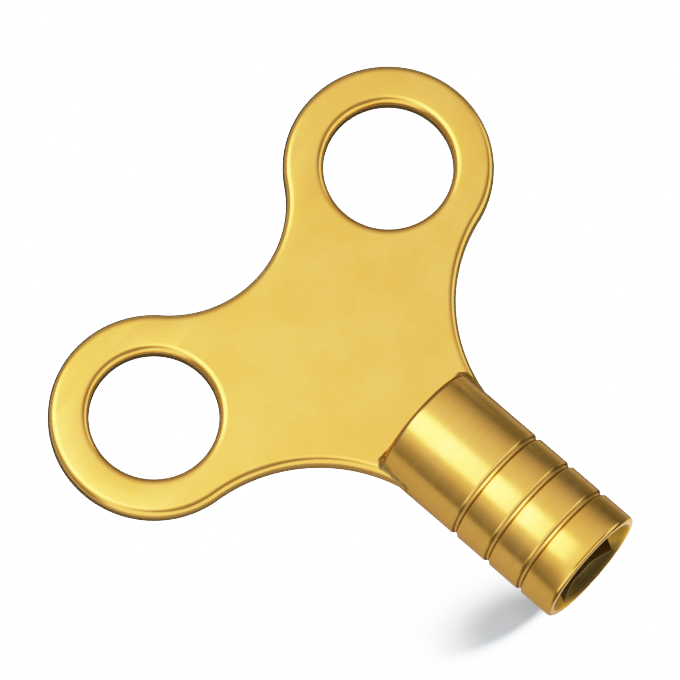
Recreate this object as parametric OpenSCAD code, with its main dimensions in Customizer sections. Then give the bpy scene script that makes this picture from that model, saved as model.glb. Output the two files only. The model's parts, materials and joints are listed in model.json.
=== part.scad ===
// Radiator bleed key: a round brass barrel with a square socket in its mouth, and a flat
// two-loop wing plate brazed into a saw slot across the barrel's other end.
// Frame: the barrel's axis is Y with its mouth at y = 0, the wing plate lies in the XY plane.

/* [Barrel] */
// Outside diameter of the barrel
barrel_d = 9; // [8.8:0.1:10]
// Length of the barrel, from its mouth to the slotted end
barrel_l = 15.9; // [15:0.1:17]
// Rounding of the edge around the mouth
mouth_edge_r = 0.25; // [0.1:0.05:0.3]
// Rounding of the edge around the slotted end
end_edge_r = 0.4; // [0.1:0.05:0.5]

/* [Grip grooves] */
// Number of turned grooves
groove_count = 3; // [1:1:3]
// Distance from the mouth to the first groove
groove_first_y = 2.9; // [2.4:0.1:3.2]
// Distance between grooves
groove_pitch = 3; // [2:0.1:3.2]
// Width of one groove
groove_w = 0.6; // [0.3:0.05:0.9]
// Depth of one groove
groove_depth = 0.18; // [0.08:0.02:0.3]

/* [Spindle socket] */
// Width across the flats of the square socket
socket_w = 5.1; // [4.9:0.05:5.3]
// Depth of the square socket
socket_depth = 8.8; // [7:0.1:9]
// Diameter of the hole drilled before the square is broached
pilot_d = 5.3; // [5:0.05:5.5]
// Depth of the drilled hole, without its pointed end
pilot_depth = 9.8; // [9.2:0.1:10]
// Diameter of the countersink at the mouth
countersink_d = 8; // [7.4:0.1:8.1]
// Included angle of the countersink
countersink_angle = 120; // [90:5:130]

/* [Wing plate] */
// Thickness of the plate
plate_t = 1.75; // [1.6:0.05:2]
// Distance between the centres of the two loops
loop_spacing = 24.6; // [23:0.1:26]
// Distance from the mouth to the line through the loop centres
loop_y = 30; // [29:0.1:31]
// Outside diameter of a loop
loop_d = 14.9; // [14:0.1:15.5]
// Diameter of the hole in a loop
hole_d = 9.1; // [8:0.1:9.6]
// Radius of the hollow between the loops
crotch_r = 8.2; // [7.5:0.1:9]
// Radius of the hollow beside the neck
neck_r = 11.8; // [11:0.1:12.5]
// Width that the two neck hollows close to
neck_w = 8.4; // [8:0.1:8.8]
// Rounding of every edge of the plate
edge_r = 0.65; // [0.3:0.05:0.7]

/* [Joint] */
// Depth of the saw slot that holds the plate
slot_depth = 2.6; // [2:0.1:2.8]
// Thickness of the brazing metal around the plate
braze_gap = 0.06; // [0.04:0.01:0.1]
// Size of the brazing fillet on the end of the barrel
braze_fillet = 0.4; // [0.2:0.05:0.5]

/* [Hidden] */
$fn = 96;

barrel_r = barrel_d / 2;
loop_r = loop_d / 2;
hole_r = hole_d / 2;
loop_x = loop_spacing / 2;
half_t = plate_t / 2;
half_land = half_t - edge_r;
slot_floor_y = barrel_l - slot_depth;
half_slot = half_t + braze_gap;
plate_bottom_y = slot_floor_y + braze_gap;
// How far the brazing metal stops below the barrel's surface
braze_recess = 0.05;
drill_point_angle = 118;
overshoot = 1;

// Each hollow reaches this far into the loop that it blends with
blend_bite = 0.02;
// Centre of the hollow between the loops
crotch_y = loop_y + sqrt(pow(crotch_r + loop_r - blend_bite, 2) - pow(loop_x, 2));
// Centre of the hollow beside the neck
neck_x = neck_w / 2 + neck_r;
neck_y = loop_y - sqrt(pow(neck_r + loop_r - blend_bite, 2) - pow(neck_x - loop_x, 2));
// Where the line from a loop's centre to the neck hollow's centre meets the plate's bottom edge
web_bottom_x = loop_x + (neck_x - loop_x) * (loop_y - plate_bottom_y) / (loop_y - neck_y);

brass_polished = [0.83, 0.68, 0.32];
brass_satin = [0.86, 0.72, 0.36];
braze_yellow = [0.80, 0.62, 0.28];

// Half section of a disc whose rim is rounded on both faces
module rim_section(r) {
    translate([0, -half_t]) square([r - edge_r, plate_t]);
    translate([0, -half_land]) square([r, 2 * half_land]);
    for (z = [-half_land, half_land]) {
        translate([r - edge_r, z]) circle(edge_r);
    }
}

// Half section of a cutter that leaves a rounded edge on both faces of the plate
module flared_section(r) {
    difference() {
        translate([0, -half_t - overshoot]) square([r + edge_r, plate_t + 2 * overshoot]);
        translate([r, -half_land]) square([edge_r + overshoot, 2 * half_land]);
        for (z = [-half_land, half_land]) {
            translate([r + edge_r, z]) circle(edge_r);
        }
    }
}

module loop_disc(side) {
    translate([side * loop_x, loop_y, 0]) rotate_extrude() rim_section(loop_r);
}

module hollow(x, y, r) {
    translate([x, y, 0]) rotate_extrude() flared_section(r);
}

// The middle of the plate: each side runs from a loop's centre to a hollow's centre,
// so that a hollow's edge takes over from the loop's rim where the two meet
module web() {
    difference() {
        translate([0, 0, -half_t]) {
            linear_extrude(plate_t) {
                polygon([
                    [loop_x, loop_y],
                    [0, crotch_y],
                    [-loop_x, loop_y],
                    [-web_bottom_x, plate_bottom_y],
                    [web_bottom_x, plate_bottom_y],
                ]);
            }
        }
        hollow(0, crotch_y, crotch_r);
        hollow(neck_x, neck_y, neck_r);
        hollow(-neck_x, neck_y, neck_r);
    }
}

module wing_plate() {
    color(brass_satin) {
        difference() {
            union() {
                web();
                loop_disc(1);
                loop_disc(-1);
            }
            hollow(loop_x, loop_y, hole_r);
            hollow(-loop_x, loop_y, hole_r);
        }
    }
}

// Turns a shape that was made about Z so that it lies along the barrel's axis, mouth first
module along_barrel() {
    rotate([-90, 0, 0]) children();
}

// Half section of one grip groove: a shallow arc as wide and as deep as the groove
module groove_section() {
    arc_r = (pow(groove_w / 2, 2) + pow(groove_depth, 2)) / (2 * groove_depth);
    translate([barrel_r + arc_r - groove_depth, 0]) circle(arc_r);
}

// One end of the barrel's half section, from the axis out to its rounded edge
module rounded_corner(r, y) {
    translate([0, y - r]) square([barrel_r - r, 2 * r]);
    translate([barrel_r - r, y]) circle(r);
}

// Half section of the turned barrel before it is drilled and slotted
module barrel_section() {
    difference() {
        union() {
            square([barrel_r - max(mouth_edge_r, end_edge_r), barrel_l]);
            translate([0, mouth_edge_r]) square([barrel_r, barrel_l - mouth_edge_r - end_edge_r]);
            rounded_corner(mouth_edge_r, mouth_edge_r);
            rounded_corner(end_edge_r, barrel_l - end_edge_r);
        }
        for (i = [0:groove_count - 1]) {
            translate([0, groove_first_y + i * groove_pitch]) groove_section();
        }
    }
}

// Everything that is cut from the mouth: countersink, drilled hole and broached square
module socket_cutter() {
    depth_per_radius = 1 / tan(countersink_angle / 2);
    sink_r = countersink_d / 2 + overshoot / depth_per_radius;
    drill_point = (pilot_d / 2) / tan(drill_point_angle / 2);
    translate([0, 0, -overshoot]) {
        cylinder(h = sink_r * depth_per_radius, r1 = sink_r, r2 = 0);
        cylinder(h = pilot_depth + overshoot, d = pilot_d);
    }
    translate([0, 0, pilot_depth]) cylinder(h = drill_point, d1 = pilot_d, d2 = 0);
    translate([-socket_w / 2, -socket_w / 2, -overshoot]) {
        cube([socket_w, socket_w, socket_depth + overshoot]);
    }
}

// The saw slot across the barrel's end, open on both sides
module slot_space() {
    translate([-barrel_d, slot_floor_y, -half_slot]) {
        cube([2 * barrel_d, slot_depth + overshoot, 2 * half_slot]);
    }
}

module barrel() {
    color(brass_polished) {
        difference() {
            along_barrel() rotate_extrude() barrel_section();
            along_barrel() socket_cutter();
            slot_space();
        }
    }
}

// Bead of brazing metal in the corner between the barrel's end and one face of the plate
module braze_bead() {
    root = 0.1;
    bead_half_length = sqrt(pow(barrel_r - end_edge_r, 2) - pow(half_t + braze_fillet, 2)) - root;
    translate([-bead_half_length, barrel_l, half_t]) {
        rotate([90, 0, 90]) {
            linear_extrude(2 * bead_half_length) {
                polygon([
                    [-root, 0],
                    [-root, braze_gap],
                    [0, braze_gap],
                    [0, braze_fillet],
                    [braze_fillet, 0],
                ]);
            }
        }
    }
}

// Brazing metal that fills the slot around the plate, with a bead on each face
module braze_joint() {
    color(braze_yellow) {
        difference() {
            intersection() {
                slot_space();
                along_barrel() cylinder(h = barrel_l, r = barrel_r - braze_recess);
            }
            wing_plate();
        }
        braze_bead();
        mirror([0, 0, 1]) braze_bead();
    }
}

barrel();
wing_plate();
braze_joint();
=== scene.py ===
import json
import math

import bpy
from mathutils import Matrix, Vector
from mathutils.geometry import tessellate_polygon


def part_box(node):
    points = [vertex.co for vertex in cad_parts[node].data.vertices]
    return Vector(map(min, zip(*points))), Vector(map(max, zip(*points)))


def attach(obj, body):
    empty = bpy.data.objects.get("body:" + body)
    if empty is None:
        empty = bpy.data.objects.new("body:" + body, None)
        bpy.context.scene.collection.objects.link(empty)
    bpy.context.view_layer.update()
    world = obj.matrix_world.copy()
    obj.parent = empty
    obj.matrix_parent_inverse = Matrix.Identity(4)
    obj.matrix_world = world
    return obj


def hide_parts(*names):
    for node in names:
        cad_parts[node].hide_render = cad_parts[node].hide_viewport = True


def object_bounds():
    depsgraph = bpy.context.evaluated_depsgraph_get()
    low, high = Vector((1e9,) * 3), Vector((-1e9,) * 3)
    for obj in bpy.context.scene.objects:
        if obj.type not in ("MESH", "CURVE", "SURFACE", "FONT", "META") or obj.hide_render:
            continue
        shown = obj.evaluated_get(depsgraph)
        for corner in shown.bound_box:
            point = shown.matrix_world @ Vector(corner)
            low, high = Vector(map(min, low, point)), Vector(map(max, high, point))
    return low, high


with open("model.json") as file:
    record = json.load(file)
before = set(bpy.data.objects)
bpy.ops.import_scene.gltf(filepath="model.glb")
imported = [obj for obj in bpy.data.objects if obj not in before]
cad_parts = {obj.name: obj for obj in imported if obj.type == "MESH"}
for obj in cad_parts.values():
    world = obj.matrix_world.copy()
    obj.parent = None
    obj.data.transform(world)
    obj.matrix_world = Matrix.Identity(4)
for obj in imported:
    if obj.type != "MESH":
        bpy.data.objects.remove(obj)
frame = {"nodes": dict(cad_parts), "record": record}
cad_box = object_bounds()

MM = 0.001

# ---- Driving dimensions, in metres -------------------------------------------------------------

_, barrel_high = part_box("barrel")
plate_low, plate_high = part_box("wing_plate")
mounts = {m["name"]: m for m in frame["record"]["mounts"]}
loop_mount = mounts["right_loop_hole"]

BARREL_R = barrel_high.x
BARREL_L = barrel_high.y
MOUTH_EDGE_R = 0.25 * MM
END_EDGE_R = 0.4 * MM

GROOVE_YS = [2.9 * MM, 5.9 * MM, 8.9 * MM]
GROOVE_W = 0.6 * MM
GROOVE_FLOOR_W = 0.2 * MM
GROOVE_DEPTH = 0.18 * MM
GROOVE_LIP_R = 0.05 * MM
GROOVE_FLOOR_R = 0.08 * MM

SOCKET_HALF = 2.55 * MM
SOCKET_DEPTH = 8.8 * MM
PILOT_R = 2.65 * MM
PILOT_DEPTH = 9.8 * MM
DRILL_POINT_ANGLE = 118
COUNTERSINK_R = 4.0 * MM
COUNTERSINK_ANGLE = 120
COUNTERSINK_EDGE_R = 0.05 * MM

PLATE_HALF_T = plate_high.z
PLATE_BOTTOM_Y = plate_low.y
LOOP_X, LOOP_Y = loop_mount["pos_m"][0], loop_mount["pos_m"][1]
LOOP_R = plate_high.x - LOOP_X
HOLE_R = loop_mount["dims"]["r_mm"] * MM
CROTCH_R = 8.2 * MM
NECK_R = 11.8 * MM
NECK_HALF_W = 4.2 * MM
PLATE_EDGE_R = 0.65 * MM

BRAZE_GAP = 0.06 * MM
SLOT_HALF = PLATE_HALF_T + BRAZE_GAP
SLOT_FLOOR_Y = PLATE_BOTTOM_Y - BRAZE_GAP
# Where the barrel's outside meets the plate's face
JAW_X = math.sqrt(BARREL_R ** 2 - PLATE_HALF_T ** 2)

# Fineness of the meshes
OUTLINE_STEP = 0.22 * MM
RIM_STEPS = 10
BARREL_COLUMNS = 240
SHARP_ANGLE = {"plate": 35, "barrel": 32, "braze": 50}


# ---- Mesh helpers ------------------------------------------------------------------------------

def make_piece(name, vertices, faces, material, sharp_angle):
    """A closed mesh with weighted normals: flat stretches stay flat beside small roundings."""
    mesh = bpy.data.meshes.new(name)
    mesh.from_pydata(vertices, [], faces)
    mesh.validate()
    mesh.polygons.foreach_set("use_smooth", [True] * len(mesh.polygons))
    mesh.set_sharp_from_angle(angle=math.radians(sharp_angle))
    piece = bpy.data.objects.new(name, mesh)
    bpy.context.scene.collection.objects.link(piece)
    mesh.materials.append(material)
    weighted = piece.modifiers.new("flat_faces_first", "WEIGHTED_NORMAL")
    weighted.keep_sharp = True
    weighted.weight = 50
    return piece


def arc_points(centre, radius, start, end, step, outward=1):
    """Points and outward normals along an arc, angles in radians. outward is -1 on a hollow."""
    count = max(2, round(abs(end - start) * radius / step))
    points = []
    for i in range(count + 1):
        a = start + (end - start) * i / count
        c, s = math.cos(a), math.sin(a)
        point = (centre[0] + radius * c, centre[1] + radius * s)
        points.append((point, (outward * c, outward * s)))
    return points


def rounded_corner(last, here, following, radius, steps):
    """steps + 1 points along the arc that rounds the corner at here."""
    to_last = (last - here).normalized()
    to_next = (following - here).normalized()
    half = to_last.angle(to_next) / 2
    reach = radius / math.tan(half)
    centre = here + (to_last + to_next).normalized() * (radius / math.sin(half))
    first_spoke = here + to_last * reach - centre
    last_spoke = here + to_next * reach - centre
    turn = first_spoke.angle_signed(last_spoke)
    points = []
    for k in range(steps + 1):
        spoke = first_spoke.copy()
        spoke.rotate(Matrix.Rotation(-turn * k / steps, 2))
        points.append(tuple(centre + spoke))
    return points


def rounded_path(corners, steps=4):
    """An open 2D path from (x, y, radius) corners. A radius of 0 keeps the corner as one point."""
    path = []
    for i, (x, y, radius) in enumerate(corners):
        if radius == 0 or i in (0, len(corners) - 1):
            path.append((x, y))
            continue
        last, following = Vector(corners[i - 1][:2]), Vector(corners[i + 1][:2])
        path += rounded_corner(last, Vector((x, y)), following, radius, steps)
    return path


def mirrored(half_outline):
    """The left half that goes with a right half, without repeating its last point."""
    return [((-x, y), (-nx, ny)) for (x, y), (nx, ny) in reversed(half_outline[:-1])]


# ---- Wing plate --------------------------------------------------------------------------------

def neck_centre():
    """Centre of the right neck hollow, which touches the right loop from outside."""
    neck_x = NECK_HALF_W + NECK_R
    return neck_x, LOOP_Y - math.sqrt((NECK_R + LOOP_R) ** 2 - (neck_x - LOOP_X) ** 2)


def plate_outline():
    """Points and normals round the plate, from its bottom right corner to its bottom left one."""
    crotch_y = LOOP_Y + math.sqrt((CROTCH_R + LOOP_R) ** 2 - LOOP_X ** 2)
    neck_x, neck_y = neck_centre()
    to_crotch = math.atan2(crotch_y - LOOP_Y, -LOOP_X)
    to_neck = math.atan2(neck_y - LOOP_Y, neck_x - LOOP_X)
    bottom = math.pi - math.asin((PLATE_BOTTOM_Y - neck_y) / NECK_R)
    neck = arc_points((neck_x, neck_y), NECK_R, bottom, to_neck + math.pi, OUTLINE_STEP, -1)
    loop = arc_points((LOOP_X, LOOP_Y), LOOP_R, to_neck, to_crotch, OUTLINE_STEP)
    half_crotch = arc_points(
        (0, crotch_y), CROTCH_R, to_crotch - math.pi, -math.pi / 2, OUTLINE_STEP, -1
    )
    right = neck[:-1] + loop[:-1] + half_crotch
    outline = right + mirrored(right)
    for end in (0, -1):
        point, normal = outline[end]
        outline[end] = (point, (math.copysign(1, normal[0]), 0))
    return outline


def rim_rings(outline):
    """The rounded side of the plate, as one row of vertices per ring, from underside to top."""
    land = PLATE_HALF_T - PLATE_EDGE_R
    angles = [math.pi / 2 * k / RIM_STEPS for k in range(RIM_STEPS + 1)]
    quarter = [(land + PLATE_EDGE_R * math.sin(a), PLATE_EDGE_R * (1 - math.cos(a))) for a in angles]
    sections = [(-z, inset) for z, inset in reversed(quarter)] + quarter
    return [
        [(x - nx * inset, y - ny * inset, z) for (x, y), (nx, ny) in outline]
        for z, inset in sections
    ]


def add_rim(vertices, faces, outline, closed):
    """Add the side wall that follows an outline, and return the vertex numbers of each ring."""
    rings = []
    for ring in rim_rings(outline):
        rings.append(range(len(vertices), len(vertices) + len(ring)))
        vertices.extend(ring)
    width = len(outline)
    for low, high in zip(rings, rings[1:]):
        for j in range(width if closed else width - 1):
            k = (j + 1) % width
            faces.append((low[j], low[k], high[k], high[j]))
    return rings


def add_flat_face(vertices, faces, loops, upward):
    """Fill an outline and its holes with triangles that all face up, or all face down."""
    order = [v for loop in loops for v in loop]
    for triangle in tessellate_polygon([[Vector(vertices[v]) for v in loop] for loop in loops]):
        a, b, c = (order[i] for i in triangle)
        pa, pb, pc = (Vector(vertices[v]) for v in (a, b, c))
        is_up = (pb - pa).cross(pc - pa).z > 0
        faces.append((a, b, c) if is_up == upward else (a, c, b))


def build_wing_plate(material):
    vertices, faces = [], []
    outer = add_rim(vertices, faces, plate_outline(), closed=False)
    faces.append([ring[-1] for ring in reversed(outer)] + [ring[0] for ring in outer])
    rims = [outer]
    for side in (1, -1):
        centre = (side * LOOP_X, LOOP_Y)
        hole = arc_points(centre, HOLE_R, 0, 2 * math.pi, OUTLINE_STEP, -1)[:-1]
        hole.reverse()
        rims.append(add_rim(vertices, faces, hole, closed=True))
    add_flat_face(vertices, faces, [rim[0] for rim in rims], upward=False)
    add_flat_face(vertices, faces, [rim[-1] for rim in rims], upward=True)
    return make_piece("two_loop_wing_plate", vertices, faces, material, SHARP_ANGLE["plate"])


# ---- Barrel ------------------------------------------------------------------------------------

MOUTH_FACE_R = COUNTERSINK_R + 0.1 * MM


def outer_path():
    """The barrel's outside as (radius, y), above the slot's floor and below it."""
    above_slot = [
        (0, BARREL_L, 0),
        (BARREL_R, BARREL_L, END_EDGE_R),
        (BARREL_R, SLOT_FLOOR_Y, 0),
    ]
    below_slot = [(BARREL_R, SLOT_FLOOR_Y, 0)]
    lip, floor = GROOVE_W / 2, GROOVE_FLOOR_W / 2
    for y in reversed(GROOVE_YS):
        below_slot += [
            (BARREL_R, y + lip, GROOVE_LIP_R),
            (BARREL_R - GROOVE_DEPTH, y + floor, GROOVE_FLOOR_R),
            (BARREL_R - GROOVE_DEPTH, y - floor, GROOVE_FLOOR_R),
            (BARREL_R, y - lip, GROOVE_LIP_R),
        ]
    below_slot += [(BARREL_R, 0, MOUTH_EDGE_R), (MOUTH_FACE_R, 0, 0)]
    # Without the point on the axis, and without the one that below_slot starts with
    return rounded_path(above_slot, 8)[1:-1], rounded_path(below_slot)


def cavity_path(angle):
    """Countersink, broached wall, drilled hole and drill point at one angle, as (radius, y)."""
    ledge = 0.02 * MM
    square_r = SOCKET_HALF / max(abs(math.cos(angle)), abs(math.sin(angle)))
    wall_r = max(square_r, PILOT_R + ledge)
    sink_y = (COUNTERSINK_R - wall_r) / math.tan(math.radians(COUNTERSINK_ANGLE / 2))
    point = PILOT_R / math.tan(math.radians(DRILL_POINT_ANGLE / 2))
    return rounded_path([
        (MOUTH_FACE_R, 0, 0),
        (COUNTERSINK_R, 0, COUNTERSINK_EDGE_R),
        (wall_r, sink_y, COUNTERSINK_EDGE_R),
        (wall_r, SOCKET_DEPTH, 0),
        (PILOT_R, SOCKET_DEPTH + ledge, 0),
        (PILOT_R, PILOT_DEPTH, 0),
        (0, PILOT_DEPTH + point, 0),
    ])[1:]


def column_angle(j):
    return 2 * math.pi * j / BARREL_COLUMNS


# How many columns the slot takes up on each side of the X axis
SLOT_COLUMNS = round(math.asin(SLOT_HALF / BARREL_R) / column_angle(1))
# The columns on the X axis: right, left, and right again after a full turn
AXIS_COLUMNS = (0, BARREL_COLUMNS // 2, BARREL_COLUMNS)


def outer_ring(radius, y, slotted):
    """A ring of the barrel's outside. If slotted, its columns at the slot lie on the slot's walls."""
    ring = []
    for j in range(BARREL_COLUMNS):
        x, z = radius * math.cos(column_angle(j)), radius * math.sin(column_angle(j))
        if slotted and any(abs(j - axis) == SLOT_COLUMNS for axis in AXIS_COLUMNS):
            z = math.copysign(SLOT_HALF, z)
            x = math.copysign(math.sqrt(radius ** 2 - SLOT_HALF ** 2), x)
        ring.append((x, y, z))
    return ring


def cavity_rings():
    """The rings of the cavity, from the mouth inwards, and the tip of the drill point."""
    paths = [cavity_path(column_angle(j)) for j in range(BARREL_COLUMNS)]
    rings = []
    for points in list(zip(*paths))[:-1]:
        ring = []
        for j, (radius, y) in enumerate(points):
            a = column_angle(j)
            ring.append((radius * math.cos(a), y, radius * math.sin(a)))
        rings.append(ring)
    return rings, (0, paths[0][-1][1], 0)


def at(i, j):
    """The number of the vertex in ring i and column j."""
    return i * BARREL_COLUMNS + j % BARREL_COLUMNS


def skin_faces(ring_count, floor_ring):
    """The barrel's outside and cavity, left open where the slot is, and closed at the tip."""
    faces = []
    last = ring_count - 1
    for i in range(last):
        for j in range(BARREL_COLUMNS):
            in_slot = any(abs(j + 0.5 - axis) < SLOT_COLUMNS for axis in AXIS_COLUMNS)
            if i < floor_ring and in_slot:
                continue
            faces.append((at(i, j), at(i, j + 1), at(i + 1, j + 1), at(i + 1, j)))
    tip = ring_count * BARREL_COLUMNS
    faces += [(at(last, j), at(last, j + 1), tip) for j in range(BARREL_COLUMNS)]
    return faces


def slot_faces(floor_ring):
    """The flat faces at the slot: each jaw's end and wall, and the slot's floor."""
    faces = []
    right, left, right_again = AXIS_COLUMNS
    upper = range(right + SLOT_COLUMNS, left - SLOT_COLUMNS + 1)
    lower = range(left + SLOT_COLUMNS, right_again - SLOT_COLUMNS + 1)
    for jaw in (upper, lower):
        faces.append([at(0, j) for j in reversed(jaw)])
        a, b = jaw[0], jaw[-1]
        for i in range(floor_ring):
            faces.append((at(i, a), at(i + 1, a), at(i + 1, b), at(i, b)))
    right_arc = range(right - SLOT_COLUMNS, right + SLOT_COLUMNS + 1)
    left_arc = range(left - SLOT_COLUMNS, left + SLOT_COLUMNS + 1)
    faces.append([at(floor_ring, j) for j in reversed([*right_arc, *left_arc])])
    return faces


def build_barrel(material):
    above, below = outer_path()
    floor_ring = len(above)
    inner, tip = cavity_rings()
    rings = [outer_ring(radius, y, True) for radius, y in above + below[:1]]
    rings += [outer_ring(radius, y, False) for radius, y in below[1:]]
    rings += inner
    vertices = [v for ring in rings for v in ring] + [tip]
    faces = skin_faces(len(rings), floor_ring) + slot_faces(floor_ring)
    return make_piece("grooved_barrel", vertices, faces, material, SHARP_ANGLE["barrel"])


# ---- Brazing metal -----------------------------------------------------------------------------

BEAD_STEPS = 9
BEAD_ROOT = 0.3 * MM
# How far the bead reaches out over the plate, and how high it climbs the jaw
BEAD_REACH = 0.20 * MM
BEAD_RISE = 0.34 * MM
# What is added to the reach across the barrel's end, and to both in the heaps at the jaw's corners
END_REACH = 0.12 * MM
HEAP_REACH = 0.14 * MM
HEAP_RISE = 0.60 * MM
HEAP_SIZE = 1.1 * MM
# How far the metal sinks into what it joins, so that no gap shows
SINK = 0.02 * MM


def plate_top(x, y):
    """Height of the plate's upper surface beside the neck, down its rounded edge."""
    neck_x, neck_y = neck_centre()
    inside = math.hypot(abs(x) - neck_x, y - neck_y) - NECK_R
    inside = min(max(inside, 0), PLATE_EDGE_R)
    drop = PLATE_EDGE_R - inside
    return PLATE_HALF_T - PLATE_EDGE_R + math.sqrt(PLATE_EDGE_R ** 2 - drop ** 2)


def bead_path():
    """Where the barrel's jaw stands on the plate, seen from above, with outward normals."""
    corner_x, corner_y = JAW_X - END_EDGE_R, BARREL_L - END_EDGE_R
    low_y = SLOT_FLOOR_Y - 0.15 * MM
    side_count, end_count = 26, 40
    path = []
    for i in range(side_count):
        path.append(((JAW_X, low_y + (corner_y - low_y) * i / side_count), (1, 0)))
    path += arc_points((corner_x, corner_y), END_EDGE_R, 0, math.pi / 2, 0.07 * MM)
    for i in range(1, end_count + 1):
        path.append(((corner_x * (1 - i / end_count), BARREL_L), (0, 1)))
    return path + mirrored(path)


def bead_size(i, point, normal):
    """How far the bead reaches and how high it climbs at point i of its path."""
    (x, y), (nx, ny) = point, normal
    start = min(max((y - SLOT_FLOOR_Y) / (0.5 * MM), -0.3), 1)
    swell = 1 + 0.10 * math.sin(i * 0.37) + 0.06 * math.sin(i * 1.13 + 1)
    heap = math.exp(-(math.hypot(abs(x) - JAW_X, y - BARREL_L) / HEAP_SIZE) ** 2)
    reach = (BEAD_REACH + END_REACH * ny + HEAP_REACH * heap) * start * swell
    rise = (BEAD_RISE + HEAP_RISE * heap) * max(start, 0.05) * swell
    neck_x, neck_y = neck_centre()
    while reach > 0 and math.hypot(abs(x + nx * reach) - neck_x, y - neck_y) < NECK_R:
        reach -= 0.02 * MM
    return reach, rise


def bead_row(i, point, normal):
    """One cross-section of the concave bead, as a closed ring of points."""
    (x, y), (nx, ny) = point, normal
    reach, rise = bead_size(i, point, normal)
    row = []
    for k in range(BEAD_STEPS + 1):
        a = math.pi / 2 * k / BEAD_STEPS
        up = rise * (1 - math.cos(a))
        lean = JAW_X - math.sqrt(BARREL_R ** 2 - (PLATE_HALF_T + up) ** 2)
        out = reach * (1 - math.sin(a)) - (lean + SINK) * abs(nx) - SINK * ny
        px, py = x + nx * out, y + ny * out
        row.append((px, py, plate_top(px, py) + up - 0.01 * MM))
    root_x, root_y = x - nx * BEAD_ROOT, y - ny * BEAD_ROOT
    toe_x, toe_y, toe_z = row[0]
    row.append((root_x, root_y, row[-1][2] - SINK))
    row.append((root_x, root_y, PLATE_HALF_T - BEAD_ROOT))
    row.append((toe_x - nx * 0.1 * MM, toe_y - ny * 0.1 * MM, toe_z - 0.2 * MM))
    return row


def add_sweep(vertices, faces, rows, flip=False):
    """Join closed rows of points into one closed skin with capped ends."""
    base, width = len(vertices), len(rows[0])
    for row in rows:
        vertices.extend(row)
    made = []
    for i in range(len(rows) - 1):
        for k in range(width):
            here, there = base + i * width, base + (i + 1) * width
            made.append([here + k, here + (k + 1) % width, there + (k + 1) % width, there + k])
    made.append([base + k for k in reversed(range(width))])
    made.append([base + (len(rows) - 1) * width + k for k in range(width)])
    faces += made if flip else [face[::-1] for face in made]


def side_fill(side):
    """A smear of brazing metal that closes the slot's end beside the plate's bottom corner."""
    rows = []
    count, around, radius = 16, 10, 0.09 * MM
    ring = [2 * math.pi * k / around for k in range(around)]
    y = SLOT_FLOOR_Y + 0.03 * MM
    for i in range(count + 1):
        z = (2 * i / count - 1) * (SLOT_HALF - 0.05 * MM)
        x = side * (math.sqrt(BARREL_R ** 2 - z ** 2) - 0.07 * MM)
        rows.append([
            (x + side * radius * math.cos(a), y + 1.4 * radius * math.sin(a), z) for a in ring
        ])
    return rows


def slot_film():
    """The thin U of brazing metal between the plate and the slot, as rows along X."""
    clear = 0.005 * MM
    outer, inner = SLOT_HALF - clear, PLATE_HALF_T + clear
    floor, land = SLOT_FLOOR_Y + clear, PLATE_BOTTOM_Y - clear
    top = BARREL_L - 0.1 * MM
    section = [(top, -outer), (floor, -outer), (floor, outer), (top, outer)]
    section += [(top, inner), (land, inner), (land, -inner), (top, -inner)]
    reach = BARREL_R - 0.15 * MM
    return [[(reach * k, y, z) for y, z in section] for k in (-1, 1)]


def build_braze_joint(material):
    vertices, faces = [], []
    rows = [bead_row(i, point, normal) for i, (point, normal) in enumerate(bead_path())]
    add_sweep(vertices, faces, rows)
    add_sweep(vertices, faces, [[(x, y, -z) for x, y, z in row] for row in rows], flip=True)
    add_sweep(vertices, faces, side_fill(1), flip=True)
    add_sweep(vertices, faces, side_fill(-1))
    add_sweep(vertices, faces, slot_film())
    return make_piece("brazed_joint", vertices, faces, material, SHARP_ANGLE["braze"])


# ---- Shader nodes ------------------------------------------------------------------------------

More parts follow.
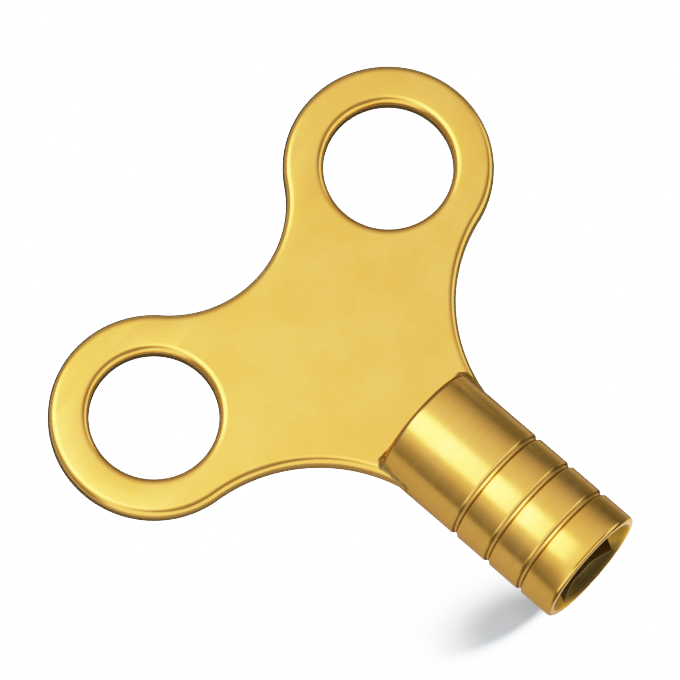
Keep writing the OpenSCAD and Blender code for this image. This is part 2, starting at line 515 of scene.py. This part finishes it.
class Nodes:
    """Short names for the shader nodes that the materials share."""

    def __init__(self, tree):
        self.tree = tree
        self.tree.nodes.clear()

    def add(self, kind, **settings):
        node = self.tree.nodes.new(kind)
        for key, value in settings.items():
            setattr(node, key, value)
        return node

    def plug(self, value, socket):
        if isinstance(value, bpy.types.NodeSocket):
            self.tree.links.new(value, socket)
        else:
            socket.default_value = value

    def math(self, operation, a, b=0.0):
        node = self.add("ShaderNodeMath", operation=operation)
        self.plug(a, node.inputs[0])
        self.plug(b, node.inputs[1])
        return node.outputs[0]

    def product(self, first, *others):
        for other in others:
            first = self.math("MULTIPLY", first, other)
        return first

    def total(self, first, *others):
        for other in others:
            first = self.math("ADD", first, other)
        return first

    def inverse(self, value):
        """1 - value."""
        return self.math("SUBTRACT", 1.0, value)

    def length(self, a, b):
        """The length of the 2D vector (a, b)."""
        return self.math("SQRT", self.total(self.product(a, a), self.product(b, b)))

    def ramp(self, value, low, high, to_low=0.0, to_high=1.0):
        """Smooth change from to_low to to_high while value goes from low to high."""
        node = self.add("ShaderNodeMapRange", interpolation_type="SMOOTHSTEP")
        self.plug(value, node.inputs["Value"])
        node.inputs["From Min"].default_value = low
        node.inputs["From Max"].default_value = high
        node.inputs["To Min"].default_value = to_low
        node.inputs["To Max"].default_value = to_high
        return node.outputs[0]

    def mix(self, factor, a, b):
        node = self.add("ShaderNodeMix", data_type="RGBA")
        self.plug(factor, node.inputs["Factor"])
        self.plug(a, node.inputs["A"])
        self.plug(b, node.inputs["B"])
        return node.outputs["Result"]

    def noise(self, coordinates, scale, detail=3.0, roughness=0.55):
        node = self.add("ShaderNodeTexNoise")
        self.plug(coordinates, node.inputs["Vector"])
        node.inputs["Scale"].default_value = scale
        node.inputs["Detail"].default_value = detail
        node.inputs["Roughness"].default_value = roughness
        return node.outputs["Fac"]

    def stretched(self, coordinates, scale, turn=(0, 0, 0)):
        node = self.add("ShaderNodeMapping")
        self.plug(coordinates, node.inputs["Vector"])
        node.inputs["Scale"].default_value = scale
        node.inputs["Rotation"].default_value = [math.radians(a) for a in turn]
        return node.outputs[0]

    def combine(self, x, y, z):
        node = self.add("ShaderNodeCombineXYZ")
        for value, socket in zip((x, y, z), node.inputs):
            self.plug(value, socket)
        return node.outputs[0]

    def split(self, vector):
        node = self.add("ShaderNodeSeparateXYZ")
        self.plug(vector, node.inputs[0])
        return node.outputs

    def bump(self, height, strength, distance):
        node = self.add("ShaderNodeBump")
        node.inputs["Strength"].default_value = strength
        node.inputs["Distance"].default_value = distance
        self.plug(height, node.inputs["Height"])
        return node.outputs[0]

    def emission(self, strength):
        node = self.add("ShaderNodeEmission")
        self.plug(strength, node.inputs["Strength"])
        return node.outputs[0]

    def diffuse(self, colour):
        node = self.add("ShaderNodeBsdfDiffuse")
        self.plug(colour, node.inputs["Color"])
        return node.outputs[0]

    def surface(self, shader, output_kind="ShaderNodeOutputMaterial"):
        self.plug(shader, self.add(output_kind).inputs["Surface"])

    def camera_only(self, seen, reflected, output_kind="ShaderNodeOutputMaterial"):
        """Show one shader to the camera and another to every other ray."""
        mixed = self.add("ShaderNodeMixShader")
        self.plug(self.add("ShaderNodeLightPath").outputs["Is Camera Ray"], mixed.inputs["Fac"])
        self.plug(reflected, mixed.inputs[1])
        self.plug(seen, mixed.inputs[2])
        self.surface(mixed.outputs[0], output_kind)


def new_material(name):
    material = bpy.data.materials.new(name)
    material.use_nodes = True
    return material, Nodes(material.node_tree)


def object_millimetres(n):
    """Object coordinates in millimetres, and their x, y and z."""
    coordinates = n.add("ShaderNodeTexCoord").outputs["Object"]
    scaled = n.stretched(coordinates, (1 / MM, 1 / MM, 1 / MM))
    return scaled, n.split(scaled)


def normal_along(n, axis):
    """How squarely the surface faces along an axis (0, 1 or 2), from 0 to 1."""
    normal = n.split(n.add("ShaderNodeNewGeometry").outputs["Normal"])
    return n.math("ABSOLUTE", normal[axis])


# ---- Metals ------------------------------------------------------------------------------------
# Positions and sizes inside the shaders are in millimetres.

BRASS = (0.91, 0.495, 0.080, 1)
BRASS_PALE = (0.94, 0.535, 0.106, 1)
BRASS_DEEP = (0.86, 0.43, 0.045, 1)
BRASS_GRAZING = (0.80, 0.62, 0.36, 1)
# Painted shade for the plate's rounded edges
RIM_PAINTED_SHADE = (0.22, 0.19, 0.10, 1)
# Painted shade in the socket
SOCKET_PAINTED_SHADE = (0.24, 0.17, 0.06, 1)
# Painted shade on the groove walls
GROOVE_PAINTED_SHADE = (0.22, 0.15, 0.05, 1)
BRAZE_DARK = (0.40, 0.27, 0.08, 1)
BRAZE_PALE = (0.62, 0.42, 0.12, 1)
# Darker colour for the rounded edge at the barrel's end
END_EDGE_DARKER = (0.30, 0.21, 0.08, 1)
BRAZE_GRAZING = (0.55, 0.38, 0.13, 1)
# Grazing tint where the barrel carries painted shade or its darker end edge
SHADE_AND_END_EDGE_GRAZING = (0.45, 0.32, 0.14, 1)

COAT = 0.5
COAT_ROUGHNESS = 0.12
BRASS_BUMP = (0.3, 0.004 * MM)
BRAZE_BUMP = (0.5, 0.01 * MM)
HAIRLINE_TURNS = (-34, 22, 78)
TURNING_ANISOTROPY = 0.4


def metal_surface(n, colour, roughness, normal, coat, grazing, anisotropy=0.0, tangent=None):
    shader = n.add("ShaderNodeBsdfPrincipled")
    shader.inputs["Metallic"].default_value = 1.0
    shader.inputs["Anisotropic"].default_value = anisotropy
    shader.inputs["Coat Roughness"].default_value = COAT_ROUGHNESS
    n.plug(colour, shader.inputs["Base Color"])
    n.plug(roughness, shader.inputs["Roughness"])
    n.plug(normal, shader.inputs["Normal"])
    n.plug(grazing, shader.inputs["Specular Tint"])
    n.plug(coat, shader.inputs["Coat Weight"])
    if tangent is not None:
        n.plug(tangent, shader.inputs["Tangent"])
    n.surface(shader.outputs[0])


def cloudy_brass(n, mm, scale):
    """The two brass colours in soft clouds, and the clouds themselves."""
    clouds = n.noise(mm, scale, 4)
    return n.mix(n.ramp(clouds, 0.35, 0.65), BRASS, BRASS_PALE), clouds


def fine_scratches(n, mm, turns):
    """Short hairlines in a few directions, kept to scattered patches."""
    found = 0.0
    for turn in turns:
        lines = n.noise(n.stretched(mm, (0.45, 16.0, 1.0), (0, 0, turn)), 1.0, 2, 0.45)
        patches = n.noise(n.stretched(mm, (1.0, 1.0, 1.0), (0, 0, turn)), 0.35, 2)
        here = n.product(n.ramp(lines, 0.66, 0.74), n.ramp(patches, 0.48, 0.62))
        found = n.math("MAXIMUM", found, here)
    return found


def rim_shade(n, level):
    """Mask for painted shade: where the plate's rounded edges turn away from the viewer."""
    facing = n.add("ShaderNodeLayerWeight")
    facing.inputs["Blend"].default_value = 0.5
    turned_away = n.ramp(facing.outputs["Facing"], 0.25, 0.5)
    return n.product(n.ramp(level, 0.06, 0.2), n.ramp(level, 0.9, 0.78), turned_away)


def satin_height(n, mm, level, hairlines):
    """Fine grain, hairlines, shear lines on the sides, and a faint waviness."""
    grain = n.noise(mm, 5.0, 3, 0.6)
    waves = n.noise(mm, 0.09, 2)
    shear = n.noise(n.stretched(mm, (5.0, 5.0, 0.3)), 1.0, 3, 0.6)
    side = n.ramp(level, 0.5, 0.1)
    scratched = n.math("SUBTRACT", n.product(grain, 0.12), n.product(hairlines, 0.03))
    return n.total(scratched, n.product(shear, side, 2.0), n.product(waves, 12.0))


def satin_brass():
    """Tumbled plate: soft cloudy satin, scattered hairlines, faint shear lines on its sides."""
    material, n = new_material("satin_brass")
    mm, _ = object_millimetres(n)
    level = normal_along(n, 2)
    mottle = n.noise(mm, 1.1, 4, 0.6)
    hairlines = fine_scratches(n, mm, HAIRLINE_TURNS)
    colour, clouds = cloudy_brass(n, mm, 0.25)
    colour = n.mix(n.product(n.ramp(mottle, 0.4, 0.7), 0.25), colour, BRASS_DEEP)
    colour = n.mix(n.product(hairlines, 0.3), colour, BRASS_PALE)
    # Painted shade: the rounded edges darken where they turn away from the viewer
    colour = n.mix(n.product(rim_shade(n, level), 0.6), colour, RIM_PAINTED_SHADE)
    # The flat faces stay above 0.275: with some of the face below it, dark specks were rendered
    cloudy = n.ramp(clouds, 0.3, 0.7, 0.288, 0.305)
    mottled = n.ramp(mottle, 0.3, 0.7, -0.008, 0.012)
    polished_edge = n.product(n.ramp(level, 0.995, 0.85), 0.08)
    rough = n.math("SUBTRACT", n.total(cloudy, mottled), polished_edge)
    bumps = n.bump(satin_height(n, mm, level, hairlines), *BRASS_BUMP)
    metal_surface(n, colour, rough, bumps, COAT, BRASS_GRAZING)
    return material


def barrel_regions(n, radius, y):
    """How much a point belongs to each region of the barrel, from 0 to 1."""
    end_on = normal_along(n, 1)
    below_slot = n.ramp(y, 12.6, 12.4)
    inside = n.product(n.ramp(radius, 4.0, 3.9), below_slot)
    slope = math.tan(math.radians(90 - COUNTERSINK_ANGLE / 2))
    past_countersink = n.ramp(n.total(y, n.product(radius, slope)), 2.33, 2.38)
    broached = n.product(past_countersink, inside)
    cut_in = n.product(n.ramp(radius, 4.47, 4.36), n.ramp(y, 1.2, 1.4))
    groove = n.product(cut_in, below_slot, n.inverse(inside))
    edge_of_end = n.ramp(y, (BARREL_L - END_EDGE_R) / MM, BARREL_L / MM - 0.2)
    return {
        "inside": inside,
        "broached": broached,
        "countersunk": n.product(inside, n.inverse(broached)),
        "groove": groove,
        "groove_wall": n.product(groove, n.ramp(end_on, 0.15, 0.45)),
        "darker_end_edge": n.product(edge_of_end, n.ramp(end_on, 0.99, 0.9)),
    }


def turning_marks(n, angle, along):
    """Fine rings and broader bands, both following the tool round the barrel."""
    around_fine = n.combine(n.product(angle, 0.5), n.product(along, 7.0), 0.0)
    around_broad = n.combine(n.product(angle, 0.2), n.product(along, 1.6), 4.0)
    return n.noise(around_fine, 1.0, 3, 0.6), n.noise(around_broad, 1.0, 2, 0.5)


def turned_colour(n, mm, y, rings, region):
    """Brass with turning rings, painted shade on the groove walls and in the cavity, and a darker
    rounded edge at the barrel's end.
    """
    colour, _ = cloudy_brass(n, mm, 0.3)
    colour = n.mix(n.product(n.ramp(rings, 0.4, 0.7), 0.3), colour, BRASS_DEEP)
    # Painted shade: the groove walls are darkened
    colour = n.mix(n.product(region["groove_wall"], 0.9), colour, GROOVE_PAINTED_SHADE)
    # Darker on the rounded edge at the barrel's end
    colour = n.mix(n.product(region["darker_end_edge"], 0.8), colour, END_EDGE_DARKER)
    # Painted shade: the broached walls are darkened, and the countersink more so further in
    colour = n.mix(n.product(region["broached"], 0.75), colour, SOCKET_PAINTED_SHADE)
    countersink_shade = n.ramp(y, 0.0, 0.25, 0.4, 0.85)
    return n.mix(n.product(region["countersunk"], countersink_shade), colour, SOCKET_PAINTED_SHADE)


def turned_roughness(n, rings, bands, region):
    turned = n.total(n.ramp(bands, 0.3, 0.7, 0.17, 0.22), n.ramp(rings, 0.3, 0.7, -0.02, 0.03))
    return n.total(turned, n.product(region["broached"], 0.14), n.product(region["groove"], 0.08))


def turned_height(n, x, y, z, rings, bands, region):
    """Turning marks, and lengthwise broaching marks instead of them on the broached walls."""
    lengthwise = n.combine(n.product(x, 7.0), n.product(y, 0.4), n.product(z, 7.0))
    broach_marks = n.product(n.noise(lengthwise, 1.0, 3, 0.6), n.product(region["broached"], 2.0))
    turning = n.product(n.total(rings, bands), n.inverse(region["broached"]))
    return n.total(turning, broach_marks)


def turned_brass():
    """Polished barrel: fine turning rings, painted shade on the groove walls and in the broached
    socket.
    """
    material, n = new_material("turned_brass")
    mm, (x, y, z) = object_millimetres(n)
    radius = n.length(x, z)
    # Well inside the barrel's surface the rings follow the radius too, so the flat ends show them
    along = n.math("SUBTRACT", y, n.product(n.ramp(radius, 4.3, 4.2), radius))
    rings, bands = turning_marks(n, n.math("ARCTAN2", z, x), along)
    region = barrel_regions(n, radius, y)
    colour = turned_colour(n, mm, y, rings, region)
    rough = turned_roughness(n, rings, bands, region)
    bumps = n.bump(turned_height(n, x, y, z, rings, bands, region), *BRASS_BUMP)
    # Where painted shade darkens the groove walls and cavity, and on the darker end edge, the coat
    # thins and the grazing tint dulls
    groove_shade_and_end_edge = n.math("MAXIMUM", region["groove_wall"], region["darker_end_edge"])
    shade_and_end_edge = n.math("MAXIMUM", groove_shade_and_end_edge, n.product(region["inside"], 0.8))
    coat = n.product(n.inverse(shade_and_end_edge), COAT)
    grazing = n.mix(shade_and_end_edge, BRASS_GRAZING, SHADE_AND_END_EDGE_GRAZING)
    tangent = n.add("ShaderNodeTangent", direction_type="RADIAL", axis="Y").outputs[0]
    metal_surface(n, colour, rough, bumps, coat, grazing, TURNING_ANISOTROPY, tangent)
    return material


def brazing_metal():
    """As-flowed brazing alloy: duller and darker than the brass, with a soft uneven skin."""
    material, n = new_material("brazing_metal")
    mm, _ = object_millimetres(n)
    lumps = n.noise(mm, 1.6, 3)
    pits = n.noise(mm, 7.0, 3, 0.7)
    colour = n.mix(n.ramp(lumps, 0.35, 0.65), BRAZE_DARK, BRAZE_PALE)
    colour = n.mix(n.product(n.ramp(pits, 0.5, 0.75), 0.4), colour, BRAZE_DARK)
    rough = n.ramp(pits, 0.3, 0.7, 0.34, 0.46)
    bumps = n.bump(n.total(n.product(lumps, 2.0), pits), *BRAZE_BUMP)
    metal_surface(n, colour, rough, bumps, 0.0, BRAZE_GRAZING)
    return material


# ---- Pieces ------------------------------------------------------------------------------------

plate = build_wing_plate(satin_brass())
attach(plate, "root")
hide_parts("wing_plate")

barrel = build_barrel(turned_brass())
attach(barrel, "root")
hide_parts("barrel")

braze = build_braze_joint(brazing_metal())
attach(braze, "root")
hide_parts("braze_joint")


# ---- Stage -------------------------------------------------------------------------------------

WHITE = (1, 1, 1, 1)
# Brightness of the floor and the world as the camera sees them
BACKDROP_STRENGTH = 4.0

FLOOR_SIZE = 3.0
FLOOR_GAP = 0.02 * MM
FLOOR_IN_SHADOW = (0.56, 0.60, 0.64, 1)
# The oval of floor that shows the shadow: its centre, its two axes and where it fades out, in mm
OVAL_CENTRE = (-4.8, 2.4)
OVAL_ALONG = (-0.44, 0.23)
OVAL_ACROSS = (0.47, 0.88)
OVAL_FADE = (1.0, 6.5)

CAMERA_AZIMUTH = -50.6
CAMERA_ELEVATION = 73.0
CAMERA_ROLL = 2.5
LENS = 900
SENSOR_WIDTH = 36
# The key's larger side as a part of the picture's width
FILL = 0.86


def direction(azimuth, elevation):
    """Unit vector from the object towards a viewer. Azimuth 0 looks along +Y."""
    a, e = math.radians(azimuth), math.radians(elevation)
    return Vector((math.sin(a) * math.cos(e), -math.cos(a) * math.cos(e), math.sin(e)))


def add_quad(name, corners, material):
    mesh = bpy.data.meshes.new(name)
    mesh.from_pydata(corners, [], [(0, 1, 2, 3)])
    mesh.materials.append(material)
    quad = bpy.data.objects.new(name, mesh)
    bpy.context.scene.collection.objects.link(quad)
    return quad


def floor_in_reflections(n, x, y):
    """A grey that darkens with distance, with painted shadows beside the barrel, far to its right and
    farther in front, and a painted pool of light just before the mouth, set to suit the brass.
    """
    from_key = n.length(n.math("SUBTRACT", x, -12.0), n.math("SUBTRACT", y, 20.0))
    shade = n.ramp(from_key, 25.0, 110.0, 0.53, 0.22)
    # Painted shadows: far to the right, beside the barrel, and farther in front
    right_far = n.product(n.ramp(x, 12.0, 22.0), n.ramp(y, 26.0, 16.0))
    beside_barrel = n.product(n.ramp(x, 5.5, 6.5), n.ramp(x, 11.0, 9.5), n.ramp(y, 19.0, 16.0))
    in_front = n.ramp(y, -5.0, -10.0, 1.0, 0.3)
    shade = n.product(shade, n.inverse(n.product(right_far, 0.6)))
    shade = n.product(shade, n.inverse(n.product(beside_barrel, 0.55)), in_front)
    # Painted pool of light just before the mouth
    light_pool = n.product(n.ramp(y, 1.0, -1.0), n.ramp(y, -7.0, -4.5))
    light_pool_side = n.ramp(n.math("ABSOLUTE", n.math("SUBTRACT", x, 4.0)), 9.0, 4.0)
    shade = n.total(shade, n.product(light_pool, light_pool_side))
    # Darker where the ray has come only a few millimetres, as in a contact shadow
    travelled = n.math("DIVIDE", n.add("ShaderNodeLightPath").outputs["Ray Length"], MM)
    shade = n.product(shade, n.ramp(travelled, 2.5, 6.0, 0.25, 1.0))
    return n.diffuse(n.combine(shade, shade, n.product(shade, 0.95)))


def floor_in_view(n, x, y):
    """White, except in an oval by the mouth, where the floor is lit and so shows the shadow."""
    to_x = n.math("SUBTRACT", x, OVAL_CENTRE[0])
    to_y = n.math("SUBTRACT", y, OVAL_CENTRE[1])
    along, across = (
        n.total(n.product(to_x, axis[0]), n.product(to_y, axis[1]))
        for axis in (OVAL_ALONG, OVAL_ACROSS)
    )
    seen = n.add("ShaderNodeMixShader")
    n.plug(n.ramp(n.length(along, across), *OVAL_FADE), seen.inputs["Fac"])
    n.plug(n.diffuse(FLOOR_IN_SHADOW), seen.inputs[1])
    n.plug(n.emission(BACKDROP_STRENGTH), seen.inputs[2])
    return seen.outputs[0]


def build_floor():
    """A floor that the key lies on: it touches the barrel's slotted end and the loops' far edges."""
    material, n = new_material("pale_floor")
    _, (x, y, _) = object_millimetres(n)
    n.camera_only(floor_in_view(n, x, y), floor_in_reflections(n, x, y))
    slope = (BARREL_R - PLATE_HALF_T) / (plate_high.y - BARREL_L)
    corners = []
    for x, y in ((-1, -1), (1, -1), (1, 1), (-1, 1)):
        x, y = x * FLOOR_SIZE, y * FLOOR_SIZE
        corners.append((x, y, slope * (y - BARREL_L) - BARREL_R - FLOOR_GAP))
    return add_quad("floor", corners, material)


def world_in_reflections(n):
    """A dim room: brighter overhead, and dark in front above a card that glows low down."""
    x, y, z = n.split(n.add("ShaderNodeTexCoord").outputs["Generated"])
    height = n.math("MAXIMUM", z, 0.02)
    overhead = n.product(n.math("MAXIMUM", z, 0.0), 0.88)
    level = n.total(n.ramp(x, -0.3, 0.3, 0.26, 0.12), overhead)
    front = n.ramp(n.math("DIVIDE", y, height), -0.08, -0.38, 1.0, 0.30)
    left = n.ramp(n.math("DIVIDE", x, height), -0.9, -2.2, 1.0, 0.65)
    middle = n.product(n.ramp(x, -0.35, -0.05), n.ramp(x, 0.6, 0.4))
    card_top = n.total(n.product(middle, 0.15), n.ramp(x, -0.3, -0.6, 0.35, 0.65))
    card = n.product(n.ramp(n.math("SUBTRACT", z, card_top), 0.25, 0.0), n.ramp(y, 0.05, -0.2))
    return n.total(n.product(level, front, left), n.product(card, 1.2))


def build_world():
    """The camera sees plain white, and the brass sees a dim room."""
    world = bpy.data.worlds.new("studio")
    bpy.context.scene.world = world
    world.use_nodes = True
    n = Nodes(world.node_tree)
    shaders = []
    for strength in (BACKDROP_STRENGTH, world_in_reflections(n)):
        background = n.add("ShaderNodeBackground")
        background.inputs["Color"].default_value = WHITE
        n.plug(strength, background.inputs["Strength"])
        shaders.append(background.outputs[0])
    n.camera_only(*shaders, "ShaderNodeOutputWorld")


def softbox(name, low, high, height, strength, fade):
    """A glowing ceiling panel that fades towards its sides, by its own margin in x and in y."""
    material, n = new_material(name)
    x, y, _ = n.split(n.add("ShaderNodeTexCoord").outputs["Generated"])
    glow = strength
    for across, margin in zip((x, y), fade):
        from_middle = n.math("ABSOLUTE", n.math("SUBTRACT", across, 0.5))
        glow = n.product(glow, n.ramp(from_middle, 0.5, 0.5 - margin))
    lit = n.add("ShaderNodeAddShader")
    n.plug(n.emission(glow), lit.inputs[0])
    n.plug(n.add("ShaderNodeBsdfTransparent").outputs[0], lit.inputs[1])
    n.surface(lit.outputs[0])
    (x0, y0), (x1, y1) = low, high
    corners = [(x0, y0, height), (x0, y1, height), (x1, y1, height), (x1, y0, height)]
    panel = add_quad(name, corners, material)
    panel.visible_camera = False
    panel.visible_shadow = False


def floor_light(floor, towards, distance, width, watts):
    """A soft side light that only the floor shows, and only to the camera: it draws the shadow."""
    data = bpy.data.lights.new("floor_light", "AREA")
    data.size = width
    data.energy = watts
    data.use_nodes = True
    n = Nodes(data.node_tree)
    seen_directly = n.math("LESS_THAN", n.add("ShaderNodeLightPath").outputs["Ray Depth"], 1.5)
    n.surface(n.emission(seen_directly), "ShaderNodeOutputLight")
    light = bpy.data.objects.new("floor_light", data)
    bpy.context.scene.collection.objects.link(light)
    aim = Vector(towards).normalized()
    light.location = aim * distance
    light.rotation_mode = "QUATERNION"
    light.rotation_quaternion = aim.to_track_quat("Z", "Y")
    lit = bpy.data.collections.new("lit_by_floor_light")
    lit.objects.link(floor)
    light.light_linking.receiver_collection = lit


def camera_axes():
    """The camera's right, up and back directions, rolled as in the photograph."""
    back = direction(CAMERA_AZIMUTH, CAMERA_ELEVATION)
    azimuth, roll = math.radians(CAMERA_AZIMUTH), math.radians(CAMERA_ROLL)
    across = Vector((math.cos(azimuth), math.sin(azimuth), 0))
    right = across * math.cos(roll) + back.cross(across) * math.sin(roll)
    return right, back.cross(right), back


def build_camera():
    """A long lens at the photographed angle, framed on the key from its own outline."""
    right, up, back = camera_axes()
    points = [v.co for name in ("barrel", "wing_plate") for v in frame["nodes"][name].data.vertices]
    xs, ys = [p.dot(right) for p in points], [p.dot(up) for p in points]
    centre = (cad_box[0] + cad_box[1]) / 2
    middle = right * (min(xs) + max(xs)) / 2 + up * (min(ys) + max(ys)) / 2
    middle += back * centre.dot(back)
    field = max(max(xs) - min(xs), max(ys) - min(ys)) / FILL
    data = bpy.data.cameras.new("camera")
    data.sensor_width = SENSOR_WIDTH
    data.lens = LENS
    data.clip_start, data.clip_end = 0.05, 10
    camera = bpy.data.objects.new("camera", data)
    bpy.context.scene.collection.objects.link(camera)
    camera.rotation_mode = "QUATERNION"
    camera.rotation_quaternion = Matrix((right, up, back)).transposed().to_quaternion()
    camera.location = middle + back * (field * LENS / SENSOR_WIDTH)
    bpy.context.scene.camera = camera


def develop_like_film():
    """Camera response: linear up to the knee, then bright values roll off towards white."""
    knee, brightest = 0.45, 4.0
    view = bpy.context.scene.view_settings
    view.view_transform = "Standard"
    view.use_curve_mapping = True
    mapping = view.curve_mapping
    mapping.white_level = (brightest, brightest, brightest)
    combined_curve = mapping.curves[3]
    for level in (0.25, 0.45, 0.6, 0.8, 1.0, 1.25, 1.6, 2.0, 2.5, 3.2):
        over = max(level - knee, 0) / (1 - knee)
        shown = min(level, knee) + (1 - knee) * (1 - math.exp(-over))
        combined_curve.points.new(level / brightest, shown)
    mapping.update()


floor = build_floor()
build_world()
softbox(
    "overhead_softbox", low=(-0.185, 0.0), high=(0.035, 0.38), height=0.22, strength=2.4,
    fade=(0.22, 0.14),
)
floor_light(floor, towards=(0.88, -0.50, 0.95), distance=0.3, width=0.07, watts=6.8)
build_camera()
develop_like_film()
